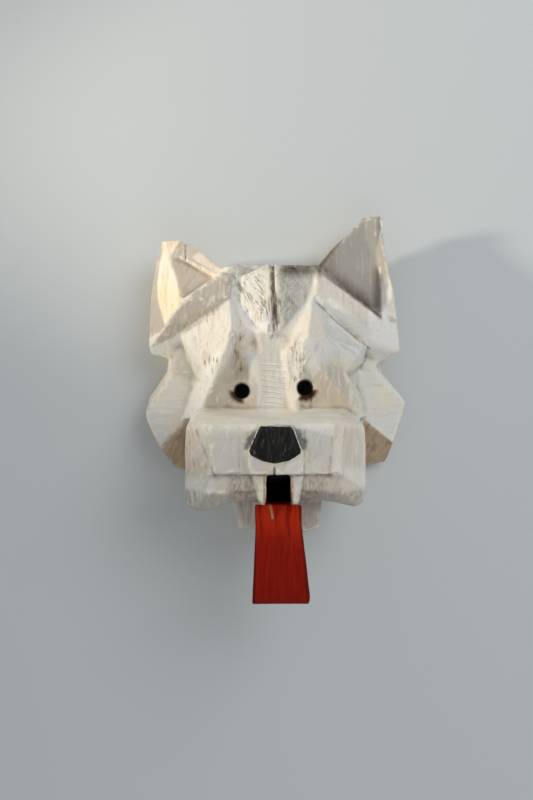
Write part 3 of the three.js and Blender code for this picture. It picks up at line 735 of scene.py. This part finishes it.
# Grey on the ruffs' faces and painted shade on the filled pit
paint = coat(tree, paint, WHITE_GREY, reckon(tree, "MULTIPLY", mask(tree, "ruff_face_and_pit_shade"), 0.5))
paint = coat(tree, paint, TEMPLE_GREY, reckon(tree, "MULTIPLY", mask(tree, "temple_right"), 0.35))
paint = coat(tree, paint, WHITE_GREY, reckon(tree, "MULTIPLY", mask(tree, "tooth"), 0.35))
brow = reckon(tree, "MULTIPLY", mask(tree, "brow_stain"), between(tree, stroke, 0.36, 0.62, 0.1, 0.45))
paint = coat(tree, paint, BROW_BROWN, brow)
# Dull paint on the right ear's wall, with painted light on its lower part against the shadow there
wall_paint_with_painted_light = coat(tree, WALL_DULL, WHITE_PAINTED_LIGHT, mask(tree, "wall_painted_light"))
paint = coat(tree, paint, wall_paint_with_painted_light, reckon(tree, "MULTIPLY", zone("ear_wall", 1.5), 0.9))
thin = between(tree, mask(tree, "across"), 0.0, 1.0, 0.65, 0.4)
thin = reckon(tree, "MULTIPLY", between(tree, stroke, 0.5, 0.72), thin)
paint = coat(tree, paint, WHITE_THIN, thin)
paint = coat(tree, paint, WHITE_FRESH, between(tree, stroke, 0.46, 0.28, 0.0, 0.75))
paint = coat(tree, paint, WHITE_GREY, reckon(tree, "MULTIPLY", zone("grey_paint_and_shade", 2.0), 0.45))
paint = coat(tree, paint, BAND_PINK, reckon(tree, "MULTIPLY", zone("pink_band", 1.0), 0.5))
# Painted highlight on those zones
paint = coat(tree, paint, WHITE_PAINTED_LIGHT, mask(tree, "painted_highlight"))
paint = coat(tree, paint, WHITE_GREY, between(tree, speck, 0.46, 0.3, 0.0, 0.25))
lines = scratches(tree, slanted(0.9, (200, 24, 100), 2.0), 0.05)
lines = reckon(tree, "MAXIMUM", lines, scratches(tree, slanted(-0.55, (200, 24, 100), 2.0), 0.05))
sweeps = scratches(tree, slanted(-1.0, (170, 9, 80), 2.0, 0.02), 0.06)
lines = put(tree, "Mix", Factor=mask(tree, "temple_right"), A=lines, B=sweeps).outputs["Result"]
lines = reckon(tree, "MULTIPLY", lines, reckon(tree, "MULTIPLY", mask(tree, "crossed"), 0.85))
paint = coat(tree, paint, WHITE_FRESH, lines)

cuts = strokes(tree, brush_strokes, coordinates, (520, 100, 240), 5.0, 0.006)
hairs = strokes(tree, brush_strokes, coordinates, (260, 20, 110), 2.0, 0.004)
lean_hairs = slanted(-0.62, (260, 20, 110), 2.0, 0.004)
hairs = put(tree, "Mix", Factor=mask(tree, "lean"), A=hairs, B=lean_hairs).outputs["Result"]
hairs = reckon(tree, "MULTIPLY", scratches(tree, hairs, 0.055), mask(tree, "hair"))
hairs = reckon(tree, "MULTIPLY", hairs, between(tree, patch, 0.38, 0.56))
wear = reckon(tree, "MULTIPLY", mask(tree, "flecked"), between(tree, patch, 0.34, 0.6, 0.3, 1.0))
wear = reckon(tree, "MULTIPLY_ADD", wear, 0.15, cuts)
wear = reckon(tree, "MULTIPLY_ADD", mask(tree, "cuts"), 0.05, wear)
worn = between(tree, wear, 0.66, 0.84)
worn = reckon(tree, "MAXIMUM", worn, reckon(tree, "MULTIPLY", hairs, 0.7))
edges = between(tree, mask(tree, "ridge"), 0.06, 0.3)
edges = reckon(tree, "MULTIPLY", edges, between(tree, patch, 0.35, 0.55))
edges = reckon(tree, "MULTIPLY", edges, between(tree, mask(tree, "from_eye"), 2.0, 6.0))
edges = reckon(tree, "MULTIPLY", edges, between(tree, mask(tree, "dark_edge"), 1.0, 0.0))
paint = coat(tree, paint, WHITE_WORN, reckon(tree, "MULTIPLY", edges, 0.8))
# Painted highlight along those edges
paint = coat(tree, paint, WHITE_FRESH, reckon(tree, "MULTIPLY", mask(tree, "painted_edge_highlight"), 0.9))
gold = reckon(tree, "MULTIPLY", between(tree, wear, 0.56, 0.72, 0.0, 0.5), mask(tree, "flecked"))
surface = coat(tree, paint, FLECK_GOLD, gold)
surface = coat(tree, surface, FLECK_AND_SHADE_DARK, reckon(tree, "MULTIPLY", worn, 0.85))
# Painted shade line at the foot of the right band
foot_shade_line = reckon(tree, "MULTIPLY", mask(tree, "foot_shade_line"), between(tree, patch, 0.36, 0.56, 0.25, 0.8))
surface = coat(tree, surface, GRIME_AND_SHADE, foot_shade_line)
surface = coat(tree, surface, GRIME_AND_SHADE, reckon(tree, "MULTIPLY", mask(tree, "dark_edge"), 0.8))
# Thin dark lines along the snout's facet edges
snout_lines = reckon(tree, "MULTIPLY", mask(tree, "snout_lines"), between(tree, patch, 0.4, 0.6, 0.1, 0.6))
surface = coat(tree, surface, GRIME_AND_SHADE, snout_lines)
# Painted shade on the undersides below the lips
surface = coat(tree, surface, GRIME_AND_SHADE, reckon(tree, "MULTIPLY", mask(tree, "underside_shade"), 0.6))

ripple = between(tree, reckon(tree, "PINGPONG", mask(tree, "ripple"), 0.5), 0.36, 0.48)
ripple = reckon(tree, "MULTIPLY", ripple, mask(tree, "channel"))
ripple = reckon(tree, "MULTIPLY", ripple, between(tree, patch, 0.34, 0.5))
surface = coat(tree, surface, WHITE_GREY, reckon(tree, "MULTIPLY", ripple, 0.75))

# Dirt and painted shade: darker in creases and hollows
crease_dirt_and_shade = between(tree, mask(tree, "crease"), 0.25, 2.6)
crease_dirt_and_shade = reckon(tree, "MULTIPLY", crease_dirt_and_shade, between(tree, patch, 0.3, 0.62, 0.3, 1))
crease_dirt_and_shade = reckon(tree, "MULTIPLY", crease_dirt_and_shade, between(tree, zone("recess", 1.5), 0.0, 1.0, 0.75, 0.25))
crease_dirt_and_shade = reckon(tree, "MULTIPLY", crease_dirt_and_shade, between(tree, zone("ear_wall", 1.5), 0.0, 1.0, 1.0, 0.15))
crease_dirt_and_shade = reckon(tree, "MULTIPLY", crease_dirt_and_shade, between(tree, mask(tree, "from_eye"), 1.0, 8.0, 0.25, 1.0))
surface = coat(tree, surface, GRIME_AND_SHADE, crease_dirt_and_shade)
# Painted shade, partly dirt, in the crease of the right ear and on the top of the forehead
shaded = reckon(tree, "MULTIPLY", mask(tree, "shaded"), between(tree, stroke, 0.3, 0.6, 0.75, 1.0))
surface = coat(tree, surface, CREASE_SHADE_DARK, shaded)
furrow = reckon(tree, "MULTIPLY", mask(tree, "furrow"), between(tree, cuts, 0.4, 0.56))
surface = coat(tree, surface, FLECK_AND_SHADE_DARK, furrow)
rim = reckon(tree, "ADD", mask(tree, "from_eye"), reckon(tree, "MULTIPLY", ragged, 1.2))
surface = coat(tree, surface, FLECK_AND_SHADE_DARK, between(tree, rim, 1.8, 0.3, 0.0, 0.9))
stain = reckon(tree, "ADD", mask(tree, "eye_stain"), reckon(tree, "MULTIPLY_ADD", patch, 3.0, -1.5))
surface = coat(tree, surface, EYE_BROWN, between(tree, stain, -0.5, 2.5, 0.0, 0.8))
surface = coat(tree, surface, EYE_STAIN, between(tree, stain, 1.8, 4.0, 0.0, 0.95))
# Painted shadow in the slit
surface = coat(tree, surface, FLECK_AND_SHADE_DARK, mask(tree, "slit_shadow"))
bare = coat(tree, WOOD_BROWN, BARE_SHADE, between(tree, slant, 0.44, 0.68, 0.0, 0.6))
bare = coat(tree, bare, WHITE_THIN, between(tree, cuts, 0.58, 0.68, 0.0, 0.6))
surface = coat(tree, surface, bare, reckon(tree, "MULTIPLY", zone("under_ruff", 1.2), 0.95))
lip = reckon(tree, "MULTIPLY", mask(tree, "under_lip"), between(tree, down, 0.34, 0.62, 0.1, 0.95))
surface = coat(tree, surface, WHITE_GREY, lip)
# Dirt and painted shade on the lips
lip_dirt_and_shade = reckon(tree, "MULTIPLY", mask(tree, "lip_dirt_and_shade"), between(tree, cuts, 0.42, 0.6, 0.12, 0.6))
surface = coat(tree, surface, GRIME_AND_SHADE, lip_dirt_and_shade)
# Dirt and painted shade under the snout's front panel
panel_line_dirt_and_shade = reckon(tree, "MULTIPLY", mask(tree, "panel_line_dirt_and_shade"), between(tree, patch, 0.36, 0.56, 0.2, 0.65))
surface = coat(tree, surface, FLECK_AND_SHADE_DARK, panel_line_dirt_and_shade)

pale = coat(tree, WOOD_PALE, WOOD_WHITE, mask(tree, "flap_top"))
pale = coat(tree, pale, WOOD_PALE_STREAK, between(tree, down, 0.45, 0.7))
surface = coat(tree, surface, pale, zone("bare_flap", 0.8))
pink = coat(tree, WOOD_PINK, WOOD_PALE, between(tree, down, 0.4, 0.7))
surface = coat(tree, surface, pink, zone("bare_slab", 0.6))

behind = coat(tree, WOOD_PALE, WOOD_BROWN, between(tree, stroke, 0.3, 0.65, 0.3, 0.85))
surface = coat(tree, surface, behind, mask(tree, "behind"))
# The slot's worn edges show orange wood; deeper in, its walls are painted black as shade
surface = coat(tree, surface, WOOD_ORANGE, between(tree, mask(tree, "in_slot"), 0.0, 2.0))
surface = coat(tree, surface, BLACK, between(tree, mask(tree, "in_slot"), 3.0, 8.0))

side = reckon(tree, "ADD", mask(tree, "nose_side"), reckon(tree, "MULTIPLY_ADD", patch, 16.0, -9.0))
surface = coat(tree, surface, SMUDGE, between(tree, side, -1.0, 5.5, 0.0, 0.88))
edge = reckon(tree, "MULTIPLY", zone("nose", 0.5), between(tree, patch, 0.36, 0.46))
surface = coat(tree, surface, WHITE_COOL, reckon(tree, "MULTIPLY", edge, mask(tree, "nose_line")))
shrunk = reckon(tree, "MULTIPLY_ADD", mask(tree, "nose_line"), -0.7, mask(tree, "nose"))
shrunk = reckon(tree, "MULTIPLY_ADD", ragged, 0.4, shrunk)
nose = between(tree, shrunk, -0.2, 0.2)
black = coat(tree, BLACK, SMUDGE, between(tree, down, 0.46, 0.74, 0.0, 0.22))
black = coat(tree, black, SMUDGE, between(tree, cuts, 0.54, 0.68, 0.0, 0.55))
black = coat(tree, black, SCUFF, between(tree, cuts, 0.63, 0.7, 0.0, 0.8))
surface = coat(tree, surface, BLACK, mask(tree, "philtrum"))
worn_edge = reckon(tree, "MULTIPLY", mask(tree, "slot_edge"), between(tree, patch, 0.36, 0.52))
surface = coat(tree, surface, WOOD_ORANGE, worn_edge)
surface = coat(tree, surface, black, nose)
tree.links.new(surface, shader.inputs["Base Color"])

matt = between(tree, stroke, 0.3, 0.7, 0.52, 0.74)
gloss = put(tree, "Mix", Factor=nose, A=matt, B=NOSE_ROUGHNESS).outputs["Result"]
tree.links.new(gloss, shader.inputs["Roughness"])
shader.inputs["Specular IOR Level"].default_value = PAINT_SHINE
height = reckon(tree, "MULTIPLY_ADD", worn, -0.9, stroke)
height = reckon(tree, "MULTIPLY_ADD", speck, 0.3, height)
bump = put(tree, "Bump", Height=height, Strength=BRUSH_STRENGTH, Distance=BRUSH_DEPTH)
tree.links.new(bump.outputs["Normal"], shader.inputs["Normal"])
head.data.materials.append(white)

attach(head, "root")
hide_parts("head")

# The tongue is a flat board with a tenon in the mouth slot, its edges rounded over by hand, and brushed with
# red paint in long streaks down its length.
TONGUE_GRAIN = 0.0011
RED = (0.31, 0.0105, 0.0040)
RED_DARK = (0.20, 0.0068, 0.0030)
RED_BRIGHT = (0.52, 0.030, 0.006)
RED_EDGE = (0.12, 0.006, 0.003)
SCRATCH_PALE = (0.60, 0.36, 0.24)
TONGUE_SHINE = 0.05
TONGUE_BRUSH_STRENGTH = 0.3
TONGUE_BRUSH_DEPTH = 0.001
MOUTH_END = -111
TONGUE_LEFT = -20.4
TONGUE_RIGHT = 23.4
TONGUE_FLARE = 0.092
TONGUE_SCRATCH = [(-5.2, -112), (-3.6, -118), (-2.4, -124)]

tongue = copy_of("tongue", "tongue_board")
even_mesh(tongue, TONGUE_GRAIN)
spots, normals = points_of(tongue)
spots = spots + 0.5 * (softened(tongue, spots, 2) - spots)
move_points(tongue, spots)
spots, normals = points_of(tongue)
rise = 0.3 * waves(spots, 24, 11) + 0.16 * waves(spots, (3, 30, 8), 12)
move_points(tongue, spots + normals * rise[:, None])
bpy.ops.object.shade_smooth()
spots, normals = points_of(tongue)
x, y, z = spots.T
keep(tongue, "below_mouth", MOUTH_END - y)
keep(tongue, "from_side", np.minimum(x - TONGUE_LEFT, TONGUE_RIGHT + TONGUE_FLARE * (MOUTH_END - y) - x))
keep(tongue, "scratch", ramp(1.4 - from_line(TONGUE_SCRATCH, spots), 0, 1) * ramp(normals[:, 2], 0.5, 0.7))

red, tree, shader, coordinates = new_material("streaked_red_paint")
stroke = strokes(tree, brush_strokes, coordinates, (330, 14, 120), 5.0, 0.005)
bands = strokes(tree, brush_strokes, coordinates, (110, 9, 60), 5.0, 0.006)
paint = coat(tree, RED, RED_DARK, between(tree, stroke, 0.46, 0.64, 0.0, 0.7))
paint = coat(tree, paint, RED_BRIGHT, between(tree, bands, 0.54, 0.74, 0.0, 0.5))
near_mouth = between(tree, mask(tree, "below_mouth"), 46.0, 4.0)
paint = coat(tree, paint, RED_BRIGHT, reckon(tree, "MULTIPLY", near_mouth, between(tree, bands, 0.4, 0.54)))
paint = coat(tree, paint, RED_DARK, between(tree, mask(tree, "below_mouth"), 50.0, 92.0, 0.0, 0.55))
paint = coat(tree, paint, RED_EDGE, between(tree, mask(tree, "from_side"), 3.0, 0.0, 0.0, 0.85))
scratch = reckon(tree, "MULTIPLY", mask(tree, "scratch"), between(tree, stroke, 0.4, 0.55, 0.2, 0.9))
paint = coat(tree, paint, SCRATCH_PALE, scratch)
# Painted shade: the tongue is painted black inside the mouth, fading to red just below it
paint = coat(tree, paint, BLACK, between(tree, mask(tree, "below_mouth"), 1.0, -11.0, 0.0, 0.99))
tree.links.new(paint, shader.inputs["Base Color"])
tree.links.new(between(tree, stroke, 0.35, 0.7, 0.42, 0.62), shader.inputs["Roughness"])
shader.inputs["Specular IOR Level"].default_value = TONGUE_SHINE
bump = put(tree, "Bump", Height=stroke, Strength=TONGUE_BRUSH_STRENGTH, Distance=TONGUE_BRUSH_DEPTH)
tree.links.new(bump.outputs["Normal"], shader.inputs["Normal"])
tongue.data.materials.append(red)

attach(tongue, "root")
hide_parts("tongue")

# The mask lies on a plain pale floor, in soft light: warm and low from the viewer's left, cool and high from
# the right, a weak one from in front of the tongue, and an even light all round.
FLOOR_HALF = 3.0
FLOOR_GREY = (0.66, 0.70, 0.715)
FLOOR_ROUGHNESS = 0.9
WARM_WHITE = (1, 0.89, 0.73)
COOL_WHITE = (0.96, 0.98, 1)
LOW_WHITE = (1, 0.98, 0.95)
SKY_WHITE = (0.97, 0.985, 1, 1)
SKY_STRENGTH = 0.31
WIDE_LIGHT = 1.2

bpy.ops.mesh.primitive_plane_add(size=2 * FLOOR_HALF, location=(0, 0, 0))
floor = bpy.context.object
floor.name = "floor"
pale, tree, shader, coordinates = new_material("pale_floor")
shader.inputs["Base Color"].default_value = (*FLOOR_GREY, 1)
shader.inputs["Roughness"].default_value = FLOOR_ROUGHNESS
floor.data.materials.append(pale)


def lamp(name, kind, place, target, watts, colour):
    """A lamp at a place, turned to a target."""
    turn = (Vector(target) - Vector(place)).to_track_quat("-Z", "Y").to_euler()
    bpy.ops.object.light_add(type=kind, location=place, rotation=turn)
    made = bpy.context.object
    made.name = name
    made.data.energy = watts
    made.data.color = colour
    return made.data


warm = lamp("warm_side_light", "SPOT", (-1.5, 0.29, 0.54), (0, 0.29, 0.20), 75, WARM_WHITE)
warm.spot_size = 0.465
warm.spot_blend = 0.28
warm.shadow_soft_size = 0.08
cool = lamp("cool_high_light", "AREA", (0.9, 0.8, 1.5), (0, 0, 0.05), 12, COOL_WHITE)
cool.size = WIDE_LIGHT
low = lamp("low_front_light", "AREA", (0.1, -1.1, 1.2), (0, -0.05, 0.08), 2.5, LOW_WHITE)
low.size = WIDE_LIGHT
world = bpy.context.scene.world or bpy.data.worlds.new("world")
bpy.context.scene.world = world
world.use_nodes = True
world.node_tree.nodes["Background"].inputs["Color"].default_value = SKY_WHITE
world.node_tree.nodes["Background"].inputs["Strength"].default_value = SKY_STRENGTH
